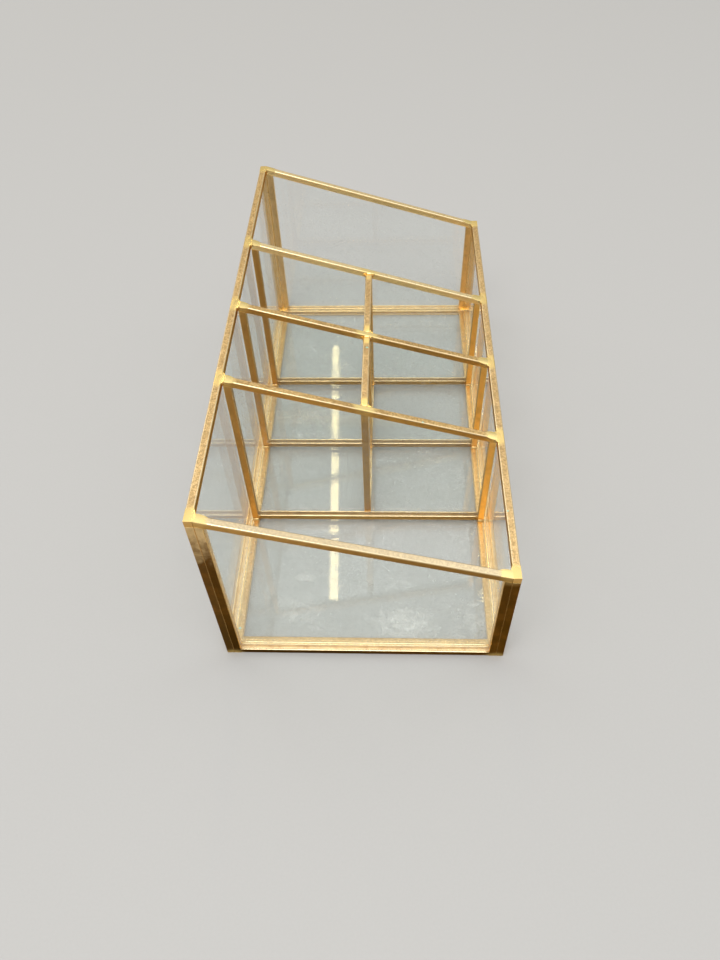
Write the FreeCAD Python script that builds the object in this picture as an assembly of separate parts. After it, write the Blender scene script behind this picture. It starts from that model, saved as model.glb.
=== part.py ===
import FreeCAD, Part
import math
import os
from FreeCAD import Vector

# An open organizer box of glass panes framed in soldered brass channel.
# X runs from the tall long side to the low one, Y from the near end to the far end, Z is up.
# The origin is at the middle of the footprint, on the surface that the box stands on.

# Driving dimensions in millimetres
box_width = 127.0  # outside, from the tall side to the low side
box_length = 254.0  # outside, from the near end to the far end
tall_height = 101.6  # top of the tall long side
low_height = 65.5  # top of the low long side
divider_pitch = 50.8  # from one cross divider to the next, the middle one at half length
glass_thickness = 2.0
glass_bite = 2.3  # how far the glass reaches into its channel
glass_side_gap = 0.15  # between the glass and each wall of its channel
glass_edge_gap = 0.3  # between the edge of the glass and the back of its channel
came_wall = 0.55  # side walls of the brass channel
came_web = 0.6  # back of the brass channel
came_round = 0.5  # rounding of the channel's two back edges
seam = 0.05  # soldered seam between neighbouring channels
solder_radius = 2.6  # reach of the solder around a joint of the top rails
solder_crown = 0.4  # rise of the solder above the rails
base_solder_radius = 3.1  # reach of the solder in a corner of the base
base_solder_crown = 0.8  # rise of the solder in a corner of the base
crown_share = 0.55  # radius of a pad's flat crown, as a share of the pad's reach
pad_sides = 12  # flat sides of a pad of solder
foot_fillet = 1.4  # legs of the solder wedges beside the feet of the dividers

# Sizes that follow from them
came_width = glass_thickness + 2 * (glass_side_gap + came_wall)
came_depth = came_web + glass_edge_gap + glass_bite
tall_inside = came_width - box_width / 2
low_inside = box_width / 2 - came_width
near_inside = came_width - box_length / 2
far_inside = box_length / 2 - came_width
base_top = came_width
panel_floor = base_top + seam
top_slope = (low_height - tall_height) / (low_inside - tall_inside)
divider_places = {"near": -divider_pitch, "middle": 0.0, "far": divider_pitch}

along_x = Vector(1, 0, 0)
along_y = Vector(0, 1, 0)
upward = Vector(0, 0, 1)


def rim_height(x):
    # top of the cross rails, which slope from the tall side's inner edge to the low side's
    return tall_height + top_slope * (x - tall_inside)


def prism(corners, travel):
    outline = Part.makePolygon(corners + corners[:1])
    return Part.Face(outline).extrude(travel)


def block(low, high):
    size = high - low
    return Part.makeBox(size.x, size.y, size.z, low)


def channel(start, end, inward, face):
    # U-channel from start to end, both at the middle of its back, open in the inward direction
    half = came_width / 2
    groove = half - came_wall
    bend = came_round * (1 - math.sqrt(0.5))

    def spot(across, depth):
        return start + face * across + inward * depth

    outline = [
        Part.LineSegment(spot(-half, came_depth), spot(-half, came_round)),
        Part.Arc(spot(-half, came_round), spot(bend - half, bend), spot(came_round - half, 0)),
        Part.LineSegment(spot(came_round - half, 0), spot(half - came_round, 0)),
        Part.Arc(spot(half - came_round, 0), spot(half - bend, bend), spot(half, came_round)),
        Part.LineSegment(spot(half, came_round), spot(half, came_depth)),
        Part.LineSegment(spot(half, came_depth), spot(groove, came_depth)),
        Part.LineSegment(spot(groove, came_depth), spot(groove, came_web)),
        Part.LineSegment(spot(groove, came_web), spot(-groove, came_web)),
        Part.LineSegment(spot(-groove, came_web), spot(-groove, came_depth)),
        Part.LineSegment(spot(-groove, came_depth), spot(-half, came_depth)),
    ]
    section = Part.Face(Part.Wire([line.toShape() for line in outline]))
    return section.extrude(end - start)


def framed_panel(origin, run, rise, length, start_height, end_height, names):
    # A pane in four channels. The origin is the panel's first lower corner, at half thickness.
    # The top channel runs over both posts, and the bottom channel lies between them.
    face = run.cross(rise)
    edge = came_web + glass_edge_gap
    slope = (end_height - start_height) / length
    highest = max(start_height, end_height)
    post_drop = came_depth + seam

    def spot(along, up, out=0.0):
        return origin + run * along + rise * up + face * out

    def top(along):
        return start_height + slope * along

    pane_corners = [
        spot(edge, edge, -glass_thickness / 2),
        spot(length - edge, edge, -glass_thickness / 2),
        spot(length - edge, top(length - edge) - edge, -glass_thickness / 2),
        spot(edge, top(edge) - edge, -glass_thickness / 2),
    ]
    before = -came_width
    beyond = length + came_width
    under_rail = prism(
        [
            spot(before, before, -came_width),
            spot(beyond, before, -came_width),
            spot(beyond, top(beyond) - post_drop, -came_width),
            spot(before, top(before) - post_drop, -came_width),
        ],
        face * (2 * came_width),
    )
    start_post = channel(spot(0, 0), spot(0, highest), run, face)
    end_post = channel(spot(length, 0), spot(length, highest), run * -1, face)
    return {
        names["pane"]: prism(pane_corners, face * glass_thickness),
        names["top"]: channel(spot(0, start_height), spot(length, end_height), rise * -1, face),
        names["bottom"]: channel(spot(post_drop, 0), spot(length - post_drop, 0), rise, face),
        names["start"]: start_post.common(under_rail),
        names["end"]: end_post.common(under_rail),
    }


def panel_names(panel, start, end):
    return {
        "pane": panel + "_pane",
        "top": panel + "_top_rail",
        "bottom": panel + "_bottom_came",
        "start": panel + "_" + start + "_post",
        "end": panel + "_" + end + "_post",
    }


def base_panel():
    names = {
        "pane": "base_pane",
        "top": "base_far_came",
        "bottom": "base_near_came",
        "start": "base_tall_came",
        "end": "base_low_came",
    }
    origin = Vector(tall_inside + seam, near_inside + seam, came_width / 2)
    width = low_inside - tall_inside - 2 * seam
    length = far_inside - near_inside - 2 * seam
    return framed_panel(origin, along_x, along_y, width, length, length, names)


def long_side(panel, x, height):
    origin = Vector(x, -box_length / 2, 0)
    names = panel_names(panel, "near", "far")
    return framed_panel(origin, along_y, upward, box_length, height, height, names)


def cross_panel(panel, y, floor):
    start = tall_inside + seam
    end = low_inside - seam
    origin = Vector(start, y, floor)
    names = panel_names(panel, "tall", "low")
    tall_end = rim_height(start) - floor
    low_end = rim_height(end) - floor
    return framed_panel(origin, along_x, upward, end - start, tall_end, low_end, names)


def partition_top():
    # the low edge of a partition's rail is level with the divider rails
    return rim_height(came_width / 2)


def partition(panel, near_divider):
    inset = came_width / 2 + seam
    origin = Vector(0, near_divider + inset, panel_floor)
    length = divider_pitch - 2 * inset
    height = partition_top() - panel_floor
    names = panel_names(panel, "near", "far")
    return framed_panel(origin, along_y, upward, length, height, height, names)


def cross_rail_bar(y):
    # the space of a cross rail, up to the inner edges of both long rails, and of the panel below it
    below = 2 * came_depth
    corners = [
        Vector(tall_inside, y - came_width / 2, tall_height),
        Vector(low_inside, y - came_width / 2, low_height),
        Vector(low_inside, y - came_width / 2, low_height - below),
        Vector(tall_inside, y - came_width / 2, tall_height - below),
    ]
    return prism(corners, along_y * came_width)


def long_rail_bar(inside, outside, height):
    low = Vector(min(inside, outside), -box_length / 2, height - came_depth)
    high = Vector(max(inside, outside), box_length / 2, height)
    return block(low, high)


def solder_pad(centre, radius, crown, depth):
    # pad of solder with sloping shoulders, reaching down by depth from its centre
    levels = [(0, radius), (crown, radius * crown_share)]
    if depth > 0:
        levels.insert(0, (-depth, radius))
    rings = []
    for height, reach in levels:
        ring = []
        for side in range(pad_sides):
            turn = 2 * math.pi * side / pad_sides
            ring.append(centre + Vector(reach * math.cos(turn), reach * math.sin(turn), height))
        rings.append(ring)
    outlines = [rings[0][::-1], rings[-1]]
    for lower, upper in zip(rings, rings[1:]):
        for side in range(pad_sides):
            after = (side + 1) % pad_sides
            outlines.append([lower[side], lower[after], upper[after], upper[side]])
    faces = [Part.Face(Part.makePolygon(corners + corners[:1])) for corners in outlines]
    return Part.makeSolid(Part.makeShell(faces))


def rail_joints(places):
    # solder where the cross rails at these places meet both long rails
    outside = Vector(box_width / 2, box_length / 2, tall_height + solder_crown)
    outer_box = block(Vector(-box_width / 2, -box_length / 2, 0), outside)
    joints = []
    for inside, wall, height in (
        (tall_inside, -box_width / 2, tall_height),
        (low_inside, box_width / 2, low_height),
    ):
        for y in places:
            pad = solder_pad(Vector(inside, y, height), solder_radius, solder_crown, came_depth)
            pad = pad.cut([long_rail_bar(inside, wall, height), cross_rail_bar(y)])
            joints += pad.common(outer_box).Solids
    return Part.makeCompound(joints)


def partition_joints():
    # solder where the partition rails meet the divider rails, each on its own side of the divider
    joints = []
    top = partition_top()
    half = came_width / 2
    for near_end, far_end in (("near", "middle"), ("middle", "far")):
        start = divider_places[near_end]
        end = divider_places[far_end]
        rail = block(Vector(-half, start, top - came_depth), Vector(half, end, top))
        side = block(
            Vector(-box_width / 2, start, 0),
            Vector(box_width / 2, end, tall_height + solder_crown),
        )
        for divider, y in ((start, start + half), (end, end - half)):
            pad = solder_pad(Vector(0, y, top), solder_radius, solder_crown, came_depth)
            joints += pad.common(side).cut([rail, cross_rail_bar(divider)]).Solids
    return Part.makeCompound(joints)


def base_joints():
    # solder in the four corners of the base, on its channels
    inner_box = block(
        Vector(tall_inside, near_inside, base_top),
        Vector(low_inside, far_inside, base_top + base_solder_crown),
    )
    joints = []
    for x in (tall_inside, low_inside):
        for y in (near_inside, far_inside):
            pad = solder_pad(Vector(x, y, base_top), base_solder_radius, base_solder_crown, 0)
            joints += pad.common(inner_box).Solids
    return Part.makeCompound(joints)


def foot_joints():
    # wedges of solder on the base channels, on both sides of each foot of the dividers
    joints = []
    for x in (tall_inside + seam, low_inside - seam - came_depth):
        for y in divider_places.values():
            for side in (-1, 1):
                face = y + side * came_width / 2
                corners = [
                    Vector(x, face, base_top),
                    Vector(x, face + side * foot_fillet, base_top),
                    Vector(x, face, base_top + foot_fillet),
                ]
                joints.append(prism(corners, along_x * came_depth))
    return Part.makeCompound(joints)


def organizer_box():
    near_end = (came_width - box_length) / 2
    far_end = -near_end
    pieces = {}
    pieces.update(base_panel())
    pieces.update(long_side("tall_side", (came_width - box_width) / 2, tall_height))
    pieces.update(long_side("low_side", (box_width - came_width) / 2, low_height))
    pieces.update(cross_panel("near_end", near_end, 0))
    pieces.update(cross_panel("far_end", far_end, 0))
    for name, y in divider_places.items():
        pieces.update(cross_panel(name + "_divider", y, panel_floor))
    pieces.update(partition("near_partition", divider_places["near"]))
    pieces.update(partition("far_partition", divider_places["middle"]))
    pieces["solder_corner_joints"] = rail_joints((near_end, far_end))
    pieces["solder_divider_joints"] = rail_joints(divider_places.values())
    pieces["solder_partition_joints"] = partition_joints()
    pieces["solder_base_joints"] = base_joints()
    pieces["solder_foot_joints"] = foot_joints()
    return pieces


os.makedirs("parts", exist_ok=True)
for node, shape in organizer_box().items():
    shape.exportStep("parts/" + node + ".step")
    print(node, "solids", len(shape.Solids), "volume", round(shape.Volume, 2), "valid", shape.isValid())
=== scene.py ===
import bmesh
import bpy
import math
from mathutils import Matrix, Quaternion, Vector


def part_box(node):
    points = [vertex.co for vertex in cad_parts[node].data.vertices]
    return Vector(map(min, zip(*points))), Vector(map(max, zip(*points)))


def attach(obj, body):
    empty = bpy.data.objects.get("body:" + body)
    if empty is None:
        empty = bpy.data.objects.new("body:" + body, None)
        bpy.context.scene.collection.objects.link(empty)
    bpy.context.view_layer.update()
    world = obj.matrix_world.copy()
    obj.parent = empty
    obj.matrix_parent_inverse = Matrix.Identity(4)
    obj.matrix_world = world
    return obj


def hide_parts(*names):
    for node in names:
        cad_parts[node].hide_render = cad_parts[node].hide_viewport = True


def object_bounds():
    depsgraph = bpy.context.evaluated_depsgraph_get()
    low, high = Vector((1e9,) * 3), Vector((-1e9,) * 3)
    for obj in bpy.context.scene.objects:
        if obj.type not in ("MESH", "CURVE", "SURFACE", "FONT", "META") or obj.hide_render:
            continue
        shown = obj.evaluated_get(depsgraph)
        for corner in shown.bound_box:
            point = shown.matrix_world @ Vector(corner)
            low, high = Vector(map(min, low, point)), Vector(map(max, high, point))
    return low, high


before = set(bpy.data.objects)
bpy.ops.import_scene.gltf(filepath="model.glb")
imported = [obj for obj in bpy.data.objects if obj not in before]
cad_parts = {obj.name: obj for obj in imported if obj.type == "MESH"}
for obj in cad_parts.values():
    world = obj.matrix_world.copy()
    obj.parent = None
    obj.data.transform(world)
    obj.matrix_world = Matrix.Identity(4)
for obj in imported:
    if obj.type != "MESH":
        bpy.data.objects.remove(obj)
cadLow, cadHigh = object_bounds()
mm = 0.001
touching = 0.001 * mm  # closer than this counts as touching
print("frame loaded:", len(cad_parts), "solids of the box")

# sizes that the frame gives
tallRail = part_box("tall_side_top_rail")
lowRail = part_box("low_side_top_rail")
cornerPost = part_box("tall_side_near_post")
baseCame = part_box("base_near_came")
cameWidth = tallRail[1].x - tallRail[0].x
cameDepth = cornerPost[1].y - cornerPost[0].y
tallInside = tallRail[1].x
lowInside = lowRail[0].x
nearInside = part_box("near_end_top_rail")[1].y
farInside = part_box("far_end_top_rail")[0].y
tallTop = tallRail[1].z
lowTop = lowRail[1].z
baseTop = baseCame[1].z
rimSlope = (lowTop - tallTop) / (lowInside - tallInside)
rimTilt = math.atan(rimSlope)
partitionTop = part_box("near_partition_top_rail")[1].z
dividers = ("near_divider", "middle_divider", "far_divider")
partitions = ("near_partition", "far_partition")
ends = ("near_end", "far_end")


def rimHeight(x):
    # top of the sloping rails, from the tall side's inner edge to the low side's
    return tallTop + rimSlope * (x - tallInside)


def middleOf(node):
    low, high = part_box(node)
    return (low + high) / 2


# a shader socket that can be used in sums
class Wire:
    def __init__(self, tree, socket=None):
        self.tree = tree
        self.socket = socket

    def add(self, kind, settings=None, sockets=None, out=0):
        node = self.tree.nodes.new(kind)
        for key, value in (settings or {}).items():
            setattr(node, key, value)
        for key, value in (sockets or {}).items():
            if isinstance(value, Wire):
                self.tree.links.new(value.socket, node.inputs[key])
            else:
                node.inputs[key].default_value = value
        return Wire(self.tree, node.outputs[out] if node.outputs else None)

    def calc(self, operation, first, second):
        return self.add("ShaderNodeMath", {"operation": operation}, {0: first, 1: second})

    def __add__(self, other):
        return self.calc("ADD", self, other)

    def __radd__(self, other):
        return self.calc("ADD", other, self)

    def __sub__(self, other):
        return self.calc("SUBTRACT", self, other)

    def __rsub__(self, other):
        return self.calc("SUBTRACT", other, self)

    def __mul__(self, other):
        return self.calc("MULTIPLY", self, other)

    def __rmul__(self, other):
        return self.calc("MULTIPLY", other, self)

    def __pow__(self, other):
        return self.calc("POWER", self, other)

    def upTo(self, most):
        return self.calc("MINIMUM", self, most)

    def step(self, low, high):
        # 0 below low, 1 above high, eased between them
        return self.add(
            "ShaderNodeMapRange",
            {"interpolation_type": "SMOOTHSTEP"},
            {"Value": self, "From Min": low, "From Max": high},
        )

    def tint(self, first, second):
        # first colour where this mask is 0, second where it is 1
        return self.add("ShaderNodeMix", {"data_type": "RGBA"}, {0: self, 6: first, 7: second}, out=2)

    def per(self, sizes):
        # the same place, counted in features of these sizes
        scale = [1 / size for size in sizes]
        return self.add("ShaderNodeMapping", None, {"Vector": self, "Scale": scale})

    def against(self, operation, other):
        # one number out of two vectors
        settings = {"operation": operation}
        return self.add("ShaderNodeVectorMath", settings, {0: self, 1: other}, out="Value")

    def cloud(self, scale, detail=2.0, rough=0.5, twist=0.0):
        return self.add(
            "ShaderNodeTexNoise",
            None,
            {"Vector": self, "Scale": scale, "Detail": detail, "Roughness": rough, "Distortion": twist},
        )

    def cells(self, scale, feature="F1", out="Distance"):
        return self.add(
            "ShaderNodeTexVoronoi",
            {"feature": feature, "voronoi_dimensions": "2D"},
            {"Vector": self, "Scale": scale, "Randomness": 1.0},
            out=out,
        )

    def axis(self, name):
        return self.add("ShaderNodeSeparateXYZ", None, {"Vector": self}, out=name)

    def bump(self, strength, distance):
        return self.add(
            "ShaderNodeBump",
            None,
            {"Strength": strength, "Distance": distance, "Height": self},
        )


def newMaterial(name):
    material = bpy.data.materials.new(name)
    material.use_nodes = True
    material.node_tree.nodes.clear()
    return material, Wire(material.node_tree)


def colour(red, green, blue):
    return (red, green, blue, 1.0)


brassLook = {
    "gold": colour(0.68, 0.45, 0.18),
    "brown": colour(0.24, 0.12, 0.04),  # old tarnish, also the colour of the painted shade on the upright faces
    "umber": colour(0.075, 0.027, 0.004),  # stain and painted shade on the outside, darkest near the floor
    "bronze": colour(0.20, 0.078, 0.013),  # streaks in the stain
    "tallFootShade": colour(0.03, 0.009, 0.002),  # painted shade, the lowest part of the darkening on the tall side
    "edge": colour(0.98, 0.84, 0.54),  # polished upper edges, partly a painted highlight
    "ridge": colour(0.95, 0.62, 0.24),  # polished upright edges, partly a painted highlight
    "gilded": colour(0.97, 0.73, 0.29),  # where solder has run
    # painted highlight for faces that slope down to the low side
    "gildedSlope": colour(1.0, 0.79, 0.34),
    "fleck": colour(0.34, 0.21, 0.10),
    "bare": colour(1.0, 0.80, 0.47),
    "verdigris": colour(0.40, 0.76, 0.68),
    "grazing": colour(0.86, 0.66, 0.40),  # what the brass sends back at a low angle
    "grain": (1.1 * mm, 0.5 * mm, 0.5 * mm),  # along the channel and across it
    "fineLine": (10 * mm, 0.25 * mm, 0.25 * mm),
    "broadLine": (45 * mm, 0.8 * mm, 0.8 * mm),
    "blotchSize": 6 * mm,
    "speckScales": (1050, 2300),
    "relief": 0.04 * mm,
    "shine": 0.26,
    "shadeAndStainTop": 110 * mm,
    "footTop": 6 * mm,
    # where each mask starts and where it is full
    "facesUp": (0.25, 0.85),
    "facesLow": (0.1, 0.28),  # painted highlight on faces that slope down to the low side
    "lowSide": (-20 * mm, 30 * mm),  # across the box; painted light and shade, upright faces toned apart on the tall and the low side
    "outside": (56 * mm, 62 * mm),  # out from the middle of the box
    "shaded": (0.9 * mm, 3.0 * mm),  # painted shade: the sides darken towards the open edge
    "rubbed": (0.32, 0.62),
    "flecked": (0.46, 0.59),
    "scraped": (0.51, 0.61),
    "old": (0.70, 1.06),
    "stainedAndShaded": (0.66, 1.06),
    "streaked": (0.44, 0.64),
    "tallFootShaded": (0.66, 0.84),
    "hot": (0.28, 1.05),
    "green": (0.75, 1.45),
    # green specks and how far each one spreads
    "specks": (
        (Vector((-58.6, -116.2, 3.4)) * mm, 0.9 * mm),
        (Vector((61.0, -93.6, 65.5)) * mm, 0.7 * mm),
        (Vector((0.3, -9.7, 82.7)) * mm, 1.1 * mm),
        (Vector((26.1, -51.8, 75.7)) * mm, 0.7 * mm),
    ),
}


def agedBrass(name, pale, sides, tarnish, stainAndShade, paleLift=0.0, speckle=1.0):
    # pale: colour of the upper faces, rubbed and with painted light, sides: of the upright ones on the
    # tall and low side, tarnish with painted shade
    material, g = newMaterial(name)
    spot = g.add("ShaderNodeTexCoord", out="Object")
    normal = g.add("ShaderNodeNewGeometry", out="Normal")
    drawn = g.add("ShaderNodeAttribute", {"attribute_name": "drawn"}, out="Vector")
    wornAndHighlit = g.add("ShaderNodeAttribute", {"attribute_name": "wornAndHighlit"}, out="Fac")
    nearJoint = g.add("ShaderNodeAttribute", {"attribute_name": "nearJoint"}, out="Fac")
    grain = drawn.per(brassLook["grain"]).cloud(1.0, 3.0, 0.6)
    lines = drawn.per(brassLook["fineLine"]).cloud(1.0, 2.0, 0.6) * 0.5
    lines = lines + drawn.per(brassLook["broadLine"]).cloud(1.0, 1.0) * 0.5
    blotch = spot.cloud(1 / brassLook["blotchSize"], 4.0, 0.6, 0.6)
    broad = spot.cloud(1 / (6 * brassLook["blotchSize"]), 2.0)
    coarse, fine = brassLook["speckScales"]
    specks = spot.cloud(coarse, 2.0, 0.6) * 0.55 + spot.cloud(fine, 1.0) * 0.45
    mottle = specks * 0.85 + grain * 0.15
    top = normal.axis("Z").step(*brassLook["facesUp"])
    lowSide = spot.axis("X").step(*brassLook["lowSide"])

    # painted light and shade: the upright faces take one tone on the tall side and another on the low
    # side
    gold = lowSide.tint(*sides)
    # painted shade on the upright faces, darkest towards the open edge of the channel
    openEdgeShade = drawn.axis("Z").step(*brassLook["shaded"]) * 0.45
    # upward faces take the gold, upright faces the darker tones: partly tarnish, partly painted shade
    gold = top.tint(openEdgeShade.tint(gold, brassLook["brown"]), brassLook["gold"])
    # the extra pale for the near and far rails is painted light
    rubbed = (grain * 0.7 + lines * 0.3 + paleLift).step(*brassLook["rubbed"])
    # the pale on the upper faces is partly wear, partly painted light
    gold = (rubbed * (0.07 + top * 0.93)).tint(gold, pale)
    flecks = mottle.step(*brassLook["flecked"]) * (0.08 + top * 0.57) * speckle
    gold = flecks.tint(gold, brassLook["fleck"])
    bare = (1 - mottle).step(*brassLook["scraped"]) * top * 0.5
    gold = bare.tint(gold, brassLook["bare"])
    old = (blotch * 0.7 + broad * 0.5 + lines * 0.4).step(*brassLook["old"]) * tarnish
    gold = old.tint(gold, brassLook["brown"])

    # the outside of the box is stained brown and given painted shade, darker towards the floor
    outside = normal.against("DOT_PRODUCT", spot).step(*brassLook["outside"])
    depth = 1 - spot.axis("Z") * (1 / brassLook["shadeAndStainTop"])
    dark = (depth * 1.6 + blotch * 0.6 + lines * 0.4).step(*brassLook["stainedAndShaded"])
    dark = dark * outside * (1 - top) * stainAndShade
    streaks = (lines * 0.6 + blotch * 0.4).step(*brassLook["streaked"])
    stainedAndShaded = streaks.tint(brassLook["umber"], brassLook["bronze"])
    # painted shade: near black at the foot of the outside faces on the tall side
    tallFootShaded = depth.step(*brassLook["tallFootShaded"]) * (1 - lowSide) * 0.75
    stainedAndShaded = tallFootShaded.tint(stainedAndShaded, brassLook["tallFootShade"])
    edge = top.tint(brassLook["ridge"], brassLook["edge"])
    # polished edges: partly wear, partly a painted highlight along the rounded edges and lips
    gold = (wornAndHighlit * (0.85 - old * 0.4)).tint(gold, edge)
    bright = min(0.35, 3.5 * (1 - stainAndShade))  # what is left of the edges under the stain and painted shade
    gold = (dark * (1 - wornAndHighlit * bright)).tint(gold, stainedAndShaded)

    # solder has gilded the brass around the joints
    hot = (nearJoint + grain * 0.5).step(*brassLook["hot"])
    # painted highlight: faces that slope down to the low side are brighter
    slope = normal.axis("X").step(*brassLook["facesLow"])
    gilded = slope.tint(brassLook["gilded"], brassLook["gildedSlope"])
    foot = 1 - spot.axis("Z").step(0, brassLook["footTop"])
    gold = (hot * (0.2 + top * 0.77 + foot * 0.4).upTo(1.0)).tint(gold, gilded)
    for place, reach in brassLook["specks"]:
        away = spot.against("DISTANCE", place) * (1 / reach)
        green = (1 - (away + specks).step(*brassLook["green"])) * 0.9
        gold = green.tint(gold, brassLook["verdigris"])

    rough = brassLook["shine"] + grain * 0.16 + old * 0.15 + dark * 0.15 - wornAndHighlit * 0.10 - hot * 0.06
    uneven = grain * 0.6 + lines * 0.3 + blotch * 1.2 + specks * 0.3
    shader = g.add(
        "ShaderNodeBsdfPrincipled",
        None,
        {
            "Base Color": gold,
            "Metallic": 1.0,
            "Roughness": rough,
            "Specular Tint": brassLook["grazing"],
            "Normal": uneven.bump(0.4, brassLook["relief"]),
        },
    )
    g.add("ShaderNodeOutputMaterial", None, {"Surface": shader})
    return material


solderLook = {
    "bright": colour(0.97, 0.73, 0.29),
    "dull": colour(0.84, 0.61, 0.26),
    "old": colour(0.46, 0.27, 0.09),
    # painted highlight for faces that slope down to the low side
    "slope": colour(1.0, 0.79, 0.34),
    # painted shade for the upright faces
    "side": colour(0.70, 0.42, 0.14),
    "shine": 0.26,
    "rippleScale": 330,
    "pitScale": 1500,
    "relief": 0.1 * mm,
    "facesUp": (0.15, 0.85),
}


def goldSolder(name, clean, dirty, dullness):
    # clean and dirty: two of the tones above
    material, g = newMaterial(name)
    spot = g.add("ShaderNodeTexCoord", out="Object")
    normal = g.add("ShaderNodeNewGeometry", out="Normal")
    # painted shade: upright faces of the solder take the darker side colour
    top = normal.axis("Z").step(*solderLook["facesUp"])
    ripple = spot.cloud(solderLook["rippleScale"], 3.0, 0.5, 0.3)
    pits = spot.cloud(solderLook["pitScale"], 2.0, 0.6)
    dull = (ripple * 0.8 + pits * 0.35).step(0.78 - dullness, 1.0 - dullness)
    # painted highlight: faces that slope down to the low side are brighter
    slope = normal.axis("X").step(*brassLook["facesLow"])
    gold = slope.tint(solderLook[clean], solderLook["slope"])
    gold = dull.tint(gold, solderLook[dirty])
    shader = g.add(
        "ShaderNodeBsdfPrincipled",
        None,
        {
            "Base Color": top.tint(solderLook["side"], gold),
            "Metallic": 1.0,
            "Roughness": solderLook["shine"] + dull * 0.15,
            "Specular Tint": brassLook["grazing"],
            "Normal": (ripple + pits * 0.2).bump(0.25, solderLook["relief"]),
        },
    )
    g.add("ShaderNodeOutputMaterial", None, {"Surface": shader})
    return material


glassLook = {
    "tint": colour(0.966, 0.977, 0.972),  # what one face lets through
    "clean": colour(1.0, 1.0, 1.0),
    "dust": colour(0.84, 0.84, 0.81),
    "dustRough": 0.9,
    "headOn": 0.04,  # share of light mirrored head on
    "polish": 0.025,
    "waveScale": 28,
    "wave": 0.008,
    "otherFace": 0.37,  # moves the dirt, so that the two faces differ
    "hazeScale": 45,
    "filmScale": 320,
    "speckScale": 270,
    "hairScale": 55,
    "hairPatchScale": 60,
    "wipeScale": 130,
    "thickest": 0.85,
    # where each mask starts and where it is full
    "hazy": (0.46, 0.76),
    "filmy": (0.40, 0.80),
    "chosen": (0.35, 0.95),
    "speckEdge": (0.03, 0.11),
    "hairEdge": (0.004, 0.014),
    "hairy": (0.62, 0.72),
    "wipeEdge": (0.75, 1.75),
}
# where the base pane was wiped: middle, reach and strength of each smudge
smudges = (
    ((18 * mm, -112 * mm, 0), (16 * mm, 9 * mm, 1.0), 1.0),
    ((54 * mm, -109 * mm, 0), (7 * mm, 12 * mm, 1.0), 0.9),
    ((-33 * mm, -105 * mm, 0), (13 * mm, 9 * mm, 1.0), 0.5),
    ((-30 * mm, -87 * mm, 0), (5 * mm, 3 * mm, 1.0), 0.8),
)


def dustyGlass(name, dust, wipes=()):
    # wipes: smudges of the base pane, none on the upright panes
    material, g = newMaterial(name)
    spot = g.add("ShaderNodeTexCoord", out="Object")
    normal = g.add("ShaderNodeNewGeometry", out="Normal")
    if wipes:
        across = spot.axis("X") + normal.axis("Z") * glassLook["otherFace"]
        along = spot.axis("Y")
    else:
        across = spot.axis("X") + spot.axis("Y")
        across = across + (normal.axis("X") + normal.axis("Y")) * glassLook["otherFace"]
        along = spot.axis("Z")
    flat = g.add("ShaderNodeCombineXYZ", None, {"X": across, "Y": along})
    facing = g.add("ShaderNodeLayerWeight", None, {"Blend": 0.5}, out="Facing")
    mirrored = glassLook["headOn"] + (1 - glassLook["headOn"]) * facing**5

    haze = spot.cloud(glassLook["hazeScale"], 4.0, 0.6, 0.8).step(*glassLook["hazy"])
    film = spot.cloud(glassLook["filmScale"], 3.0, 0.65).step(*glassLook["filmy"])
    chosen = flat.cells(glassLook["speckScale"], out="Color").axis("X").step(*glassLook["chosen"])
    specks = (1 - flat.cells(glassLook["speckScale"]).step(*glassLook["speckEdge"])) * chosen
    hairs = 1 - flat.cells(glassLook["hairScale"], "DISTANCE_TO_EDGE").step(*glassLook["hairEdge"])
    hairs = hairs * spot.cloud(glassLook["hairPatchScale"], 2.0).step(*glassLook["hairy"])
    cover = haze * film * 0.20 + specks * (0.5 + haze * 0.4) + hairs * 0.25 + film * 0.03
    for middle, reach, strength in wipes:
        centre = [place / size for place, size in zip(middle, reach)]
        away = spot.per(reach).against("DISTANCE", centre)
        ragged = away + spot.cloud(glassLook["wipeScale"], 4.0, 0.65)
        wiped = 1 - ragged.step(*glassLook["wipeEdge"])
        cover = cover + wiped * (0.08 + film * 0.35) * strength
    cover = (cover * dust).upTo(glassLook["thickest"])

    clear = g.add("ShaderNodeBsdfTransparent", None, {"Color": glassLook["tint"]})
    gloss = g.add(
        "ShaderNodeBsdfPrincipled",
        None,
        {
            "Base Color": glassLook["clean"],
            "Metallic": 1.0,
            "Roughness": glassLook["polish"] + haze * 0.05,
            "Normal": spot.cloud(glassLook["waveScale"], 1.0).bump(glassLook["wave"], 1 * mm),
        },
    )
    dusty = g.add(
        "ShaderNodeBsdfPrincipled",
        None,
        {"Base Color": glassLook["dust"], "Roughness": glassLook["dustRough"]},
    )
    surface = g.add("ShaderNodeMixShader", None, {0: mirrored, 1: clear, 2: gloss})
    surface = g.add("ShaderNodeMixShader", None, {0: cover, 1: surface, 2: dusty})
    # lamps shine through a plain tint
    lit = g.add("ShaderNodeBsdfTransparent", None, {"Color": glassLook["tint"]})
    shade = g.add("ShaderNodeLightPath", out="Is Shadow Ray")
    surface = g.add("ShaderNodeMixShader", None, {0: shade, 1: surface, 2: lit})
    g.add("ShaderNodeOutputMaterial", None, {"Surface": surface})
    return material


edgeReflectionLook = {
    "mottleScale": 260,
    "browned": (0.45, 0.8),
    "metal": 0.25,
    "rough": 0.45,
    "relief": 0.1 * mm,
}


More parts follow.
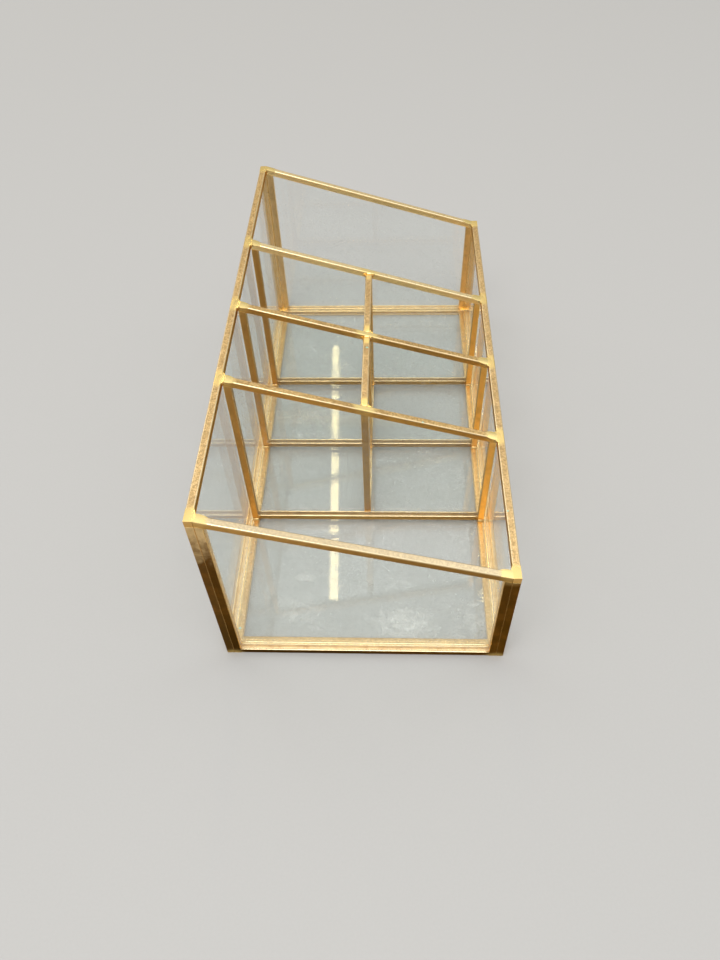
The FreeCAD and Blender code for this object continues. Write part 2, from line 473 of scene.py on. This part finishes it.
def paintedEdgeReflection(name, pale, brown):
    # painted reflection of the brass as it shows through the edge of the glass in its channel
    material, g = newMaterial(name)
    spot = g.add("ShaderNodeTexCoord", out="Object")
    mottle = spot.cloud(edgeReflectionLook["mottleScale"], 3.0, 0.6)
    shader = g.add(
        "ShaderNodeBsdfPrincipled",
        None,
        {
            "Base Color": mottle.step(*edgeReflectionLook["browned"]).tint(pale, brown),
            "Metallic": edgeReflectionLook["metal"],
            "Roughness": edgeReflectionLook["rough"] + mottle * 0.2,
            "Normal": mottle.bump(0.3, edgeReflectionLook["relief"]),
        },
    )
    g.add("ShaderNodeOutputMaterial", None, {"Surface": shader})
    return material


# modelling by hand, without a window
def deselectAll():
    for thing in bpy.context.selected_objects:
        thing.select_set(False)


def pick(*things):
    deselectAll()
    for thing in things:
        thing.select_set(True)
    bpy.context.view_layer.objects.active = things[-1]


def startEdit(thing):
    pick(thing)
    bpy.ops.object.mode_set(mode="EDIT")
    bpy.ops.mesh.select_mode(type="VERT")
    bpy.ops.mesh.select_all(action="SELECT")


def endEdit():
    bpy.ops.object.mode_set(mode="OBJECT")


def pickFaces(test):
    bpy.ops.mesh.select_mode(type="FACE")
    bpy.ops.mesh.select_all(action="DESELECT")
    shape = bmesh.from_edit_mesh(bpy.context.object.data)
    for face in shape.faces:
        face.select_set(test(face.calc_center_median(), face.normal))
    shape.select_flush_mode()
    bmesh.update_edit_mesh(bpy.context.object.data)


def pickEdges(test):
    bpy.ops.mesh.select_mode(type="EDGE")
    bpy.ops.mesh.select_all(action="DESELECT")
    shape = bmesh.from_edit_mesh(bpy.context.object.data)
    for edge in shape.edges:
        first, second = (corner.co for corner in edge.verts)
        edge.select_set(test((first + second) / 2, second - first))
    shape.select_flush_mode()
    bmesh.update_edit_mesh(bpy.context.object.data)


def block(place, size, turn=(0, 0, 0)):
    deselectAll()
    bpy.ops.mesh.primitive_cube_add(size=1, location=place, scale=size, rotation=turn)
    bpy.ops.object.transform_apply(location=True, rotation=True, scale=True)
    return bpy.context.object


def cutAway(place, outward):
    # saws off what lies past the plane and closes the cut
    bpy.ops.mesh.select_all(action="SELECT")
    bpy.ops.mesh.bisect(
        plane_co=place,
        plane_no=outward,
        use_fill=True,
        clear_outer=True,
        threshold=touching,
    )


def applyModifier(thing, kind, settings):
    pick(thing)
    modifier = thing.modifiers.new(kind.title(), kind)
    for key, value in settings.items():
        setattr(modifier, key, value)
    bpy.ops.object.modifier_apply(modifier=modifier.name)


def unevenTexture(name, size):
    texture = bpy.data.textures.new(name, "CLOUDS")
    texture.noise_scale = size
    texture.noise_depth = 2
    return texture


def copyOf(thing, name):
    twin = thing.copy()
    twin.data = thing.data.copy()
    twin.name = name
    twin.data.name = name
    bpy.context.scene.collection.objects.link(twin)
    return twin


def dispose(thing):
    mesh = thing.data
    bpy.data.objects.remove(thing)
    bpy.data.meshes.remove(mesh)


def settle(piece, node, slot, *materials):
    piece.data.materials.clear()
    for material in materials:
        piece.data.materials.append(material)
    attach(piece, "root")
    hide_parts(node)


cameStock = {
    "wall": 0.68 * mm,  # close against the glass
    "web": 0.6 * mm,
    "railRound": 0.65 * mm,
    "postRound": 0.26 * mm,
    "lipRound": 0.15 * mm,
    "length": 330 * mm,
    "slice": 1.7 * mm,  # from one cross section to the next
    "unevenness": 0.01 * mm,
    "unevenSize": 14 * mm,
    "endRound": 0.1 * mm,
    "smoothAngle": math.radians(38),
    "stagger": 0.381966,  # share of the spare stock between the starts of two lengths
    "heatReach": (2.6 * mm, 7.0 * mm),  # full and none, away from a joint
    "heatDrop": 2.2 * mm,  # how far below the floor the joints of the base count
}


def rollStock(backRound):
    # U-channel along X with its back on the floor, open upward
    half = cameWidth / 2
    groove = half - cameStock["wall"]
    nearly = 0.01 * mm
    stock = block((0, 0, cameDepth / 2), (cameStock["length"], cameWidth, cameDepth))
    startEdit(stock)
    pickEdges(lambda place, run: abs(run.x) > nearly and place.z < nearly)
    bpy.ops.mesh.bevel(offset=backRound, segments=7, affect="EDGES")
    for side in (-groove, groove):
        bpy.ops.mesh.select_all(action="SELECT")
        bpy.ops.mesh.bisect(plane_co=(0, side, 0), plane_no=(0, 1, 0), threshold=touching)
    pickFaces(lambda place, normal: normal.z > 0.9 and abs(place.y) < groove)
    down = cameStock["web"] - cameDepth
    bpy.ops.mesh.extrude_region_move(TRANSFORM_OT_translate={"value": (0, 0, down)})
    pickEdges(lambda place, run: abs(run.x) > nearly and place.z > cameDepth - nearly)
    bpy.ops.mesh.bevel(offset=cameStock["lipRound"], segments=3, affect="EDGES")
    endEdit()

    # the drawing marks and the polished edges, partly a painted highlight, go with the stock
    drawn = stock.data.attributes.new("drawn", "FLOAT_VECTOR", "POINT")
    wornAndHighlit = stock.data.attributes.new("wornAndHighlit", "FLOAT", "POINT")
    stock.data.attributes.new("nearJoint", "FLOAT", "POINT")
    for corner in stock.data.vertices:
        drawn.data[corner.index].vector = corner.co
        roundY = max(0, abs(corner.co.y) - half + backRound) / backRound
        roundZ = max(0, backRound - corner.co.z) / backRound
        onLip = corner.co.z > cameDepth - 0.8 * cameStock["lipRound"]
        wornAndHighlit.data[corner.index].value = 1.0 if onLip else min(1.0, 2 * roundY * roundZ)
    rolled = stock.modifiers.new("rolled", "DISPLACE")
    rolled.texture = unevenTexture("rolledBrass", cameStock["unevenSize"])
    rolled.strength = cameStock["unevenness"]
    rolled.mid_level = 1.0  # only ever inward
    return stock


def solderedPlaces():
    # where the rails of the rim and of the partitions meet, and under the corners of the base
    for panel in ends + dividers:
        y = middleOf(panel + "_pane").y
        yield Vector((tallInside, y, tallTop))
        yield Vector((lowInside, y, lowTop))
        if panel in ends:
            yield Vector((tallInside, y, -cameStock["heatDrop"]))
            yield Vector((lowInside, y, -cameStock["heatDrop"]))
    for partition in partitions:
        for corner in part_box(partition + "_top_rail"):
            yield Vector((0, corner.y, partitionTop))


def heatMarks(came):
    # how near each point is to a soldered joint
    full, none = cameStock["heatReach"]
    joints = list(solderedPlaces())
    nearJoint = came.data.attributes["nearJoint"]
    for corner in came.data.vertices:
        away = min((corner.co - joint).length for joint in joints)
        nearJoint.data[corner.index].value = min(1.0, max(0.0, (none - away) / (none - full)))


def sawCame(stock, node, start, end, opens, cuts, order):
    # a length of stock with the middle of its back from start to end, sawn at the cuts
    along = (end - start).normalized()
    depth = opens.normalized()
    across = depth.cross(along)
    length = (end - start).length
    spare = cameStock["length"] - length - 4 * cameDepth
    share = (order * cameStock["stagger"]) % 1.0
    offset = 2 * cameDepth + spare * share - cameStock["length"] / 2
    came = copyOf(stock, node + "_brass")
    turn = Matrix((along, across, depth * opens.length)).transposed().to_4x4()
    came.data.transform(Matrix.Translation(start - along * offset) @ turn)
    startEdit(came)
    for place, outward in cuts:
        cutAway(place, outward)
        bpy.ops.mesh.bevel(offset=cameStock["endRound"], segments=2, affect="EDGES", clamp_overlap=True)
    shortest = 1.2 * cameStock["slice"]
    for pieces in (int(length / (2 * cameStock["slice"])), 1):
        pickEdges(lambda middle, run: abs(run.dot(along)) > max(shortest, 0.95 * run.length))
        bpy.ops.mesh.subdivide(number_cuts=pieces)
    bpy.ops.mesh.select_all(action="SELECT")
    bpy.ops.mesh.normals_make_consistent(inside=False)
    endEdit()
    pick(came)
    bpy.ops.object.modifier_apply(modifier="rolled")
    heatMarks(came)
    pick(came)
    bpy.ops.object.shade_smooth_by_angle(angle=cameStock["smoothAngle"])
    return came


opening = {
    "top_rail": Vector((0, 0, -1)),
    "bottom_came": Vector((0, 0, 1)),
    "near_post": Vector((0, 1, 0)),
    "far_post": Vector((0, -1, 0)),
    "tall_post": Vector((1, 0, 0)),
    "low_post": Vector((-1, 0, 0)),
    "near_came": Vector((0, 1, 0)),
    "far_came": Vector((0, -1, 0)),
    "tall_came": Vector((1, 0, 0)),
    "low_came": Vector((-1, 0, 0)),
}


def cameNodes():
    # each channel of the box with the axis it runs along
    for panel in ("tall_side", "low_side") + partitions:
        for part, axis in (("top_rail", 1), ("bottom_came", 1), ("near_post", 2), ("far_post", 2)):
            yield panel, part, axis
    for panel in ends + dividers:
        for part, axis in (("top_rail", 0), ("bottom_came", 0), ("tall_post", 2), ("low_post", 2)):
            yield panel, part, axis
    for part, axis in (("near_came", 0), ("far_came", 0), ("tall_came", 1), ("low_came", 1)):
        yield "base", part, axis


def kindOf(panel, part):
    # which brass a channel is made of
    inner = panel in dividers + partitions
    if part.endswith("post"):
        # painted shade: the partitions' posts take the darker sill brass
        if panel in partitions:
            return "sill"
        return "post" if inner else "lit" if panel == "tall_side" else "corner"
    if part == "top_rail":
        if inner and panel != "far_divider":
            return "dull" if panel in partitions else "cross"
        # painted light: the near rail and the far rails take paler, lighter copies of the brass
        return {"near_end": "nearLit", "far_end": "far", "far_divider": "far"}.get(panel, "rail")
    return "sill" if inner else "floor"


def makeCames(railStock, postStock, brasses):
    rimUp = Vector((-rimSlope, 0, 1)).normalized()
    for order, (panel, part, axis) in enumerate(cameNodes()):
        node = panel + "_" + part
        low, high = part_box(node)
        opens = opening[part]
        back = (low + high) / 2
        for way in range(3):
            if opens[way]:
                back[way] = low[way] if opens[way] > 0 else high[way]
        start = back.copy()
        end = back.copy()
        start[axis] = low[axis]
        end[axis] = high[axis]
        run = Vector([1.0 if way == axis else 0.0 for way in range(3)])
        cuts = [(start.copy(), -run), (end.copy(), run)]
        cross = panel in ends + dividers
        if cross and part == "top_rail":
            start.z = rimHeight(start.x)
            end.z = rimHeight(end.x)
            opens = rimUp * -math.cos(rimTilt)
        if cross and axis == 2:
            cuts[1] = (Vector((low.x, back.y, high.z)), rimUp)
        if part == "top_rail" and panel in ("tall_side", "low_side"):
            # room for the solder that closes both ends
            cuts = [(place - outward * solder["cap"], outward) for place, outward in cuts]
        stock = postStock if axis == 2 else railStock
        came = sawCame(stock, node, start, end, opens, cuts, order)
        settle(came, node, "brass", brasses[kindOf(panel, part)])


paneCut = {
    "arris": 0.2 * mm,
    "bite": 2.3 * mm,  # how deep the glass goes into its channels
}


def makePane(node, glass, edgeReflection):
    low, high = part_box(node)
    size = high - low
    thin = min(range(3), key=lambda way: size[way])
    sheet = block((low + high) / 2, size)
    sheet.name = node + "_glass"
    startEdit(sheet)
    if node.startswith(ends + dividers):
        cutAway((low.x, low.y, high.z), (-rimSlope, 0, 1))
    bpy.ops.mesh.select_all(action="SELECT")
    bpy.ops.mesh.bevel(offset=paneCut["arris"], segments=2, affect="EDGES")
    pickFaces(lambda place, normal: abs(normal[thin]) > 0.99)
    bpy.ops.mesh.inset(thickness=paneCut["bite"] - paneCut["arris"], use_individual=True)
    bpy.ops.mesh.select_all(action="SELECT")
    bpy.ops.mesh.normals_make_consistent(inside=False)
    endEdit()
    settle(sheet, node, "glass", glass, edgeReflection)
    # all but the two clear faces lies in the channels
    widest = max(face.area for face in sheet.data.polygons)
    for face in sheet.data.polygons:
        face.material_index = 0 if face.area > 0.5 * widest else 1


solder = {
    "sink": 0.6 * mm,  # how deep the round of a patch is centred below the brass
    "crown": 0.06 * mm,  # how far a patch stands above the brass
    "root": 0.09 * mm,  # how far its rim goes below the brass
    # reach of the patches on the long rail and on the one that runs off, and how far off they lie
    "railPatch": (1.3 * mm, 2.4 * mm),
    "railShift": 0.6 * mm,
    "runPatch": (2.9 * mm, 1.6 * mm),
    "runShift": 1.6 * mm,
    "cornerPatch": (1.68 * mm, 3.3 * mm),
    "cornerRunPatch": (3.2 * mm, 1.6 * mm),
    "cornerRunShift": 1.5 * mm,
    "web": 1.35 * mm,  # legs of the hollow fillets in the inner corners
    "webDepth": 1.3 * mm,
    "webDrop": 0.3 * mm,  # how far their ends fall away
    "webSunk": 0.12 * mm,  # how far they start below the tops of the rails
    "webBite": 0.5 * mm,  # how far they go into the rails
    "ramp": 0.45 * mm,  # leg of the fillet on the end of a partition's rail
    "cap": 0.4 * mm,  # closes the ends of a long rail
    "capBite": 0.1 * mm,
    "capRound": 0.18 * mm,
    "seam": (0.8 * mm, 0.5 * mm),  # width and depth of the thin runs around the base
    "seamShift": 0.15 * mm,  # away from the wall
    "seamDrop": 0.3 * mm,  # below the top of the base
    "seamRound": 0.12 * mm,
    "baseBead": (2.6 * mm, 2.6 * mm, 0.35 * mm),
    "smallBead": (0.8 * mm, 0.8 * mm, 0.8 * mm),
    "foot": 1.1 * mm,  # leg of the fillets at the dividers' feet
    "inset": 0.02 * mm,  # all solder stays this far inside the outline of the box
    "wobble": 0.025 * mm,
    "wobbleSize": 2.5 * mm,
    "smoothAngle": math.radians(50),
}


def lump(place, radii):
    deselectAll()
    bpy.ops.mesh.primitive_uv_sphere_add(
        segments=32, ring_count=24, radius=1, location=place, scale=radii
    )
    bpy.ops.object.transform_apply(location=True, rotation=True, scale=True)
    return bpy.context.object


def patch(place, reach, slope=0.0, sawn=False):
    # a thin round of solder on a face that climbs along X, sawn off at X 0 where that face starts
    sink = solder["sink"]
    high = sink + solder["crown"]
    share = math.sqrt(1 - (sink / high) ** 2)
    thing = lump((0, 0, -sink), (reach[0] / share, reach[1] / share, high))
    startEdit(thing)
    cutAway((0, 0, -solder["root"]), (0, 0, -1))
    endEdit()
    pick(thing)
    thing.rotation_euler = (0, -math.atan(slope), 0)
    thing.location = place
    bpy.ops.object.transform_apply(location=True, rotation=True, scale=False)
    if sawn:
        startEdit(thing)
        cutAway((0, 0, 0), (-1, 0, 0))
        endEdit()
    return thing


def fillet(place, flipY, slope):
    # solder in an inner corner, hollow towards +X and, before the flip, +Y
    leg = solder["web"]
    depth = solder["webDepth"]
    bite = solder["webBite"]
    middle = (leg - bite) / 2
    thing = block((middle, middle, -solder["webSunk"] - depth / 2), (leg + bite, leg + bite, depth))
    startEdit(thing)
    pickEdges(lambda spot, run: spot.x > 0.9 * leg and abs(run.y) > leg)
    bpy.ops.transform.translate(value=(0, 0, slope * leg))
    pickEdges(lambda spot, run: min(spot.x, spot.y) > 0.9 * leg and abs(run.z) > 0.5 * depth)
    bpy.ops.mesh.bevel(offset=0.98 * leg, segments=10, profile=0.14, affect="EDGES")

    def onUpperEnds(spot, run):
        outermost = max(spot.x, spot.y) > 0.95 * leg
        return outermost and spot.z > -0.5 * depth and abs(run.z) < 0.2 * depth

    # the ends run out below the rounded edges of the rails
    pickEdges(onUpperEnds)
    bpy.ops.transform.translate(value=(0, 0, -solder["webDrop"]))
    bpy.ops.mesh.select_all(action="SELECT")
    bpy.ops.transform.resize(value=(1, flipY, 1), center_override=(0, 0, 0))
    bpy.ops.transform.translate(value=place)
    bpy.ops.mesh.normals_make_consistent(inside=False)
    endEdit()
    return thing


def joinUp(name, lumps):
    pick(*lumps)
    if len(lumps) > 1:
        bpy.ops.object.join()
    joint = bpy.context.object
    joint.name = name
    return joint


def footSolder(name, leg, length):
    # a fillet that lies along X
    side = leg * math.sqrt(2)
    bar = block((0, 0, 0), (length, side, side), (math.radians(45), 0, 0))
    startEdit(bar)
    bpy.ops.mesh.bevel(offset=0.3 * leg, segments=4, affect="EDGES")
    endEdit()
    return joinUp(name, [bar])


def railSolder(name, slope):
    # solder where a rail runs off along +X from the side of a long rail
    half = cameWidth / 2
    shift = solder["runShift"]
    lumps = [
        patch((-solder["railShift"], 0, 0), solder["railPatch"]),
        patch((shift, 0, slope * shift), solder["runPatch"], slope, sawn=True),
        fillet((0, half, 0), 1, slope),
        fillet((0, -half, 0), -1, slope),
    ]
    return joinUp(name, lumps)


def partitionSolder(name):
    # solder where a partition's rail runs off along +X from the side of a divider's
    half = cameWidth / 2
    ramp = footSolder("partitionRamp", solder["ramp"], 0.6 * cameWidth)
    ramp.data.transform(Matrix.Rotation(math.radians(90), 4, "Z"))
    lumps = [
        ramp,
        fillet((0, half, 0), 1, 0),
        fillet((0, -half, 0), -1, 0),
    ]
    return joinUp(name, lumps)


def cornerSolder(name, slope):
    # solder over an outer corner of the rim, with the box towards +X and +Y
    half = cameWidth / 2
    cap = solder["cap"] + solder["capBite"]
    end = block((-half, cap / 2 - cameWidth, -cameDepth / 2), (cameWidth, cap, cameDepth))
    startEdit(end)
    bpy.ops.mesh.bevel(offset=solder["capRound"], segments=3, affect="EDGES")
    endEdit()
    shift = solder["cornerRunShift"]
    lumps = [
        patch((-half, -0.6 * half, 0), solder["cornerPatch"]),
        patch((shift, -half, slope * shift), solder["cornerRunPatch"], slope, sawn=True),
        fillet((0, 0, 0), 1, slope),
        end,
    ]
    return joinUp(name, lumps)


def seamSolder(name, length):
    # a thin run of solder along X, between the base and the foot of a wall
    width, depth = solder["seam"]
    bar = block((0, solder["seamShift"], -depth / 2), (length, width, depth))
    startEdit(bar)
    bpy.ops.mesh.bevel(offset=solder["seamRound"], segments=3, affect="EDGES")
    pickEdges(lambda spot, run: abs(run.x) > 0.5 * length)
    bpy.ops.mesh.subdivide(number_cuts=int(length / solder["wobbleSize"]))
    endEdit()
    return joinUp(name, [bar])


def poolSolder(node, places, material):
    # places: pairs of a joint and where it goes
    copies = []
    for joint, where in places:
        twin = copyOf(joint, node + "_pool")
        twin.data.transform(where)
        if where.determinant() < 0:
            twin.data.flip_normals()
        copies.append(twin)
    pick(*copies)
    bpy.ops.object.join()
    pool = bpy.context.object
    pool.name = node + "_pooled"
    applyModifier(
        pool,
        "DISPLACE",
        {
            "texture": unevenTexture("runSolder", solder["wobbleSize"]),
            "strength": solder["wobble"],
            "mid_level": 0.5,
        },
    )
    startEdit(pool)
    inset = solder["inset"]
    for way in range(3):
        outward = Vector([1.0 if axis == way else 0.0 for axis in range(3)])
        cutAway(cadHigh - outward * inset, outward)
        cutAway(cadLow + outward * inset, -outward)
    bpy.ops.mesh.select_all(action="SELECT")
    bpy.ops.mesh.normals_make_consistent(inside=False)
    endEdit()
    pick(pool)
    bpy.ops.object.shade_smooth_by_angle(angle=solder["smoothAngle"])
    settle(pool, node, "solder", material)


def placed(x, y, z, turn=0.0, flipX=1, flipY=1):
    turned = Matrix.Diagonal((flipX, flipY, 1, 1)) @ Matrix.Rotation(turn, 4, "Z")
    return Matrix.Translation((x, y, z)) @ turned


def makeSolder(bright, dull, old):
    quarter = math.radians(90)
    half = cameWidth / 2
    tallEnd = railSolder("tallEndSolder", rimSlope)
    lowEnd = railSolder("lowEndSolder", -rimSlope)
    tallCorner = cornerSolder("tallCornerSolder", rimSlope)
    lowCorner = cornerSolder("lowCornerSolder", -rimSlope)
    partitionEnd = partitionSolder("partitionEndSolder")
    baseBead = joinUp("baseBead", [lump((0, 0, 0), solder["baseBead"])])
    smallBead = joinUp("smallBead", [lump((0, 0, 0), solder["smallBead"])])
    foot = footSolder("footFillet", solder["foot"], cameDepth)
    crossSeam = seamSolder("crossSeam", lowInside - tallInside)
    longSeam = seamSolder("longSeam", farInside - nearInside)

    rails = []
    for divider in dividers:
        y = middleOf(divider + "_pane").y
        rails.append((tallEnd, placed(tallInside, y, tallTop)))
        rails.append((lowEnd, placed(lowInside, y, lowTop, flipX=-1)))
    poolSolder("solder_divider_joints", rails, bright)

    corners = []
    for y, flip in ((nearInside, 1), (farInside, -1)):
        corners.append((tallCorner, placed(tallInside, y, tallTop, flipY=flip)))
        corners.append((lowCorner, placed(lowInside, y, lowTop, flipX=-1, flipY=flip)))
    poolSolder("solder_corner_joints", corners, bright)

    middles = []
    for partition in partitions:
        low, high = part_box(partition + "_top_rail")
        middles.append((partitionEnd, placed(0, low.y, partitionTop, turn=quarter)))
        middles.append((partitionEnd, placed(0, high.y, partitionTop, turn=quarter, flipY=-1)))
    poolSolder("solder_partition_joints", middles, bright)

    baseCorners = []
    for x in (tallInside, lowInside):
        for y in (nearInside, farInside):
            baseCorners.append((baseBead, placed(x, y, baseTop)))
    level = baseTop - solder["seamDrop"]
    for y, flip in ((nearInside, 1), (farInside, -1)):
        baseCorners.append((crossSeam, placed(0, y, level, flipY=flip)))
    for x, turn in ((tallInside, -quarter), (lowInside, quarter)):
        baseCorners.append((longSeam, placed(x, 0, level, turn=turn)))
    poolSolder("solder_base_joints", baseCorners, dull)

    feet = []
    for x in (tallInside + cameDepth / 2, lowInside - cameDepth / 2):
        for divider in dividers:
            y = middleOf(divider + "_pane").y
            for side in (-half, half):
                feet.append((foot, placed(x, y + side, baseTop)))
    for partition in partitions:
        # a drop beside the far foot
        low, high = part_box(partition + "_bottom_came")
        feet.append((smallBead, placed(1.2 * half, high.y + 0.8 * cameDepth, low.z + 0.6 * cameDepth)))
    poolSolder("solder_foot_joints", feet, old)
    rims = (tallEnd, lowEnd, tallCorner, lowCorner, partitionEnd)
    for joint in rims + (baseBead, smallBead, foot, crossSeam, longSeam):
        dispose(joint)


floor = {
    "size": 24.0,
    "colour": colour(0.47, 0.466, 0.455),
    "grain": colour(0.40, 0.40, 0.39),
    "grainScale": 900,
    "rough": 0.9,
    "gloss": 0.2,
}


def layFloor():
    deselectAll()
    bpy.ops.mesh.primitive_plane_add(size=floor["size"], location=(0, 0, 0))
    table = bpy.context.object
    table.name = "pale_floor"
    material, g = newMaterial("paleFloor")
    spot = g.add("ShaderNodeTexCoord", out="Object")
    speckled = spot.cloud(floor["grainScale"], 2.0) * 0.3
    shader = g.add(
        "ShaderNodeBsdfPrincipled",
        None,
        {
            "Base Color": speckled.tint(floor["colour"], floor["grain"]),
            "Roughness": floor["rough"],
            "Specular IOR Level": floor["gloss"],
        },
    )
    g.add("ShaderNodeOutputMaterial", None, {"Surface": shader})
    table.data.materials.append(material)


studio = {
    "zenith": colour(1.40, 1.38, 1.35),
    "horizon": colour(0.55, 0.545, 0.535),
    "dome": (0.40, 1.0),  # where the sky starts to brighten and where it is brightest
    "keyPlace": (-0.10, -0.60, 1.30),
    "keySize": (1.0, 0.7),
    "keyPower": 8.0,
    "edgePlace": (-1.45, 1.20, 0.80),  # low on the far left, for the outer edges of the rails
    "edgeSize": (1.0, 0.5),
    "edgePower": 4.0,
    "stripEnds": ((-0.124, 0.669, 1.3), (-0.165, 1.616, 1.3)),  # mirrored along the base pane
    "stripWidth": 0.021,
    "stripPower": 0.74,
    "stripTone": (1.0, 0.78, 0.38),
    "slopePlace": (1.0, 0.64, 0.94),  # what the low ends of the sloping rails mirror
    "slopeSize": (0.75, 0.75),
    "slopePower": 1.1,
}


def addLamp(name, place, size, power, turn, tone=(1, 1, 1)):
    deselectAll()
    bpy.ops.object.light_add(type="AREA", location=place)
    lamp = bpy.context.object
    lamp.name = name
    lamp.data.shape = "RECTANGLE"
    lamp.data.size = size[0]
    lamp.data.size_y = size[1]
    lamp.data.energy = power
    lamp.data.color = tone
    lamp.rotation_euler = turn


def aimed(place):
    return (-Vector(place)).to_track_quat("-Z", "Y").to_euler()


def lightStudio():
    world = bpy.data.worlds.new("softStudio")
    world.use_nodes = True
    world.node_tree.nodes.clear()
    bpy.context.scene.world = world
    g = Wire(world.node_tree)
    up = g.add("ShaderNodeTexCoord", out="Generated").axis("Z")
    sky = up.step(*studio["dome"]).tint(studio["horizon"], studio["zenith"])
    light = g.add("ShaderNodeBackground", None, {"Color": sky, "Strength": 1.0})
    g.add("ShaderNodeOutputWorld", None, {"Surface": light})
    for name in ("key", "edge", "slope"):
        place = studio[name + "Place"]
        addLamp(name + "Lamp", place, studio[name + "Size"], studio[name + "Power"], aimed(place))
    near, far = (Vector(place) for place in studio["stripEnds"])
    run = far - near
    turn = (0, 0, math.atan2(-run.x, run.y))
    size = (studio["stripWidth"], run.length)
    addLamp("stripLamp", (near + far) / 2, size, studio["stripPower"], turn, studio["stripTone"])


view = {
    "place": Vector((11.39, -288.6, 320.51)) * mm,
    "aim": Vector((-2.88, -55.92, 40.0)) * mm,
    "roll": math.radians(-2.47),
    "lens": 28.476,
    "sensor": 36.0,
    "clipStart": 10 * mm,
}


def setCamera():
    deselectAll()
    bpy.ops.object.camera_add(location=view["place"])
    camera = bpy.context.object
    camera.data.lens = view["lens"]
    camera.data.sensor_width = view["sensor"]
    camera.data.clip_start = view["clipStart"]
    gaze = (view["aim"] - view["place"]).to_track_quat("-Z", "Y")
    camera.rotation_mode = "QUATERNION"
    camera.rotation_quaternion = gaze @ Quaternion((0, 0, 1), view["roll"])
    bpy.context.scene.camera = camera


setCamera()
layFloor()
lightStudio()
bpy.context.scene.view_settings.view_transform = "Standard"
# panes stand behind panes
bpy.context.scene.cycles.transparent_max_bounces = 48
bpy.context.scene.cycles.max_bounces = 10
bpy.context.scene.cycles.glossy_bounces = 6
print("camera, floor and light are set")

# upright faces on the tall side and on the low side: tarnish tones with painted light and shade
railSides = (colour(0.54, 0.28, 0.065), colour(0.46, 0.235, 0.052))
farLitSides = (colour(1.0, 0.72, 0.34), colour(0.96, 0.68, 0.30))
cornerSides = (colour(0.78, 0.55, 0.27), colour(0.92, 0.55, 0.20))
postSides = (colour(0.52, 0.28, 0.078), colour(0.98, 0.54, 0.13))
sillSides = (colour(0.47, 0.265, 0.078), colour(0.47, 0.265, 0.078))
brasses = {
    "rail": agedBrass(
        "rubbedBrass", colour(0.90, 0.65, 0.32), railSides, tarnish=0.45, stainAndShade=0.4, speckle=0.85
    ),
    "cross": agedBrass("crossBrass", colour(0.82, 0.55, 0.22), railSides, tarnish=0.45, stainAndShade=0.4),
    # painted light: the near rail is paler, as if lit more strongly
    "nearLit": agedBrass(
        "nearLitBrass",
        colour(0.79, 0.66, 0.435),
        railSides,
        tarnish=0.1,
        stainAndShade=0.4,
        paleLift=0.08,
        speckle=0.4,
    ),
    "dull": agedBrass("dullBrass", colour(0.66, 0.48, 0.25), railSides, tarnish=0.7, stainAndShade=0.0),
    # painted light: the far rails are paler on top and lighter on their upright faces
    "far": agedBrass(
        "farLitBrass", colour(1.0, 0.82, 0.46), farLitSides, tarnish=0.05, stainAndShade=0.4, paleLift=0.14, speckle=0.6
    ),
    "post": agedBrass("innerBrass", colour(0.80, 0.52, 0.22), postSides, tarnish=0.35, stainAndShade=0.0),
    # the partitions' posts take this darker brass as painted shade
    "sill": agedBrass("sillBrass", colour(0.66, 0.45, 0.19), sillSides, tarnish=0.35, stainAndShade=0.0),
    "floor": agedBrass(
        "floorBrass", colour(0.70, 0.55, 0.29), railSides, tarnish=0.2, stainAndShade=0.95, speckle=0.6
    ),
    "corner": agedBrass("cornerBrass", colour(0.84, 0.60, 0.30), cornerSides, tarnish=0.4, stainAndShade=0.97),
    "lit": agedBrass("litBrass", colour(0.84, 0.60, 0.30), cornerSides, tarnish=0.4, stainAndShade=0.94),
}
railStock = rollStock(cameStock["railRound"])
postStock = rollStock(cameStock["postRound"])
makeCames(railStock, postStock, brasses)
dispose(railStock)
dispose(postStock)
print("brass channels are sawn")

# painted reflection in the channels; the brown copy is painted shade for the inner panes
paleEdgeReflection = paintedEdgeReflection("paleEdgeReflection", colour(0.92, 0.76, 0.48), colour(0.76, 0.54, 0.28))
brownEdgeReflection = paintedEdgeReflection("brownEdgeReflection", colour(0.62, 0.45, 0.22), colour(0.46, 0.30, 0.13))
sideGlass = dustyGlass("sideGlass", 0.7)
floorGlass = dustyGlass("floorGlass", 1.0, smudges)
for glassNode in [name for name in sorted(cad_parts) if name.endswith("_pane")]:
    inner = glassNode.startswith(dividers + partitions)
    glass = floorGlass if glassNode == "base_pane" else sideGlass
    makePane(glassNode, glass, brownEdgeReflection if inner else paleEdgeReflection)
print("panes are set")

brightSolder = goldSolder("brightSolder", "bright", "dull", 0.0)
dullSolder = goldSolder("dullSolder", "bright", "dull", 0.25)
oldSolder = goldSolder("oldSolder", "dull", "old", 0.4)
makeSolder(brightSolder, dullSolder, oldSolder)
print("joints are soldered")
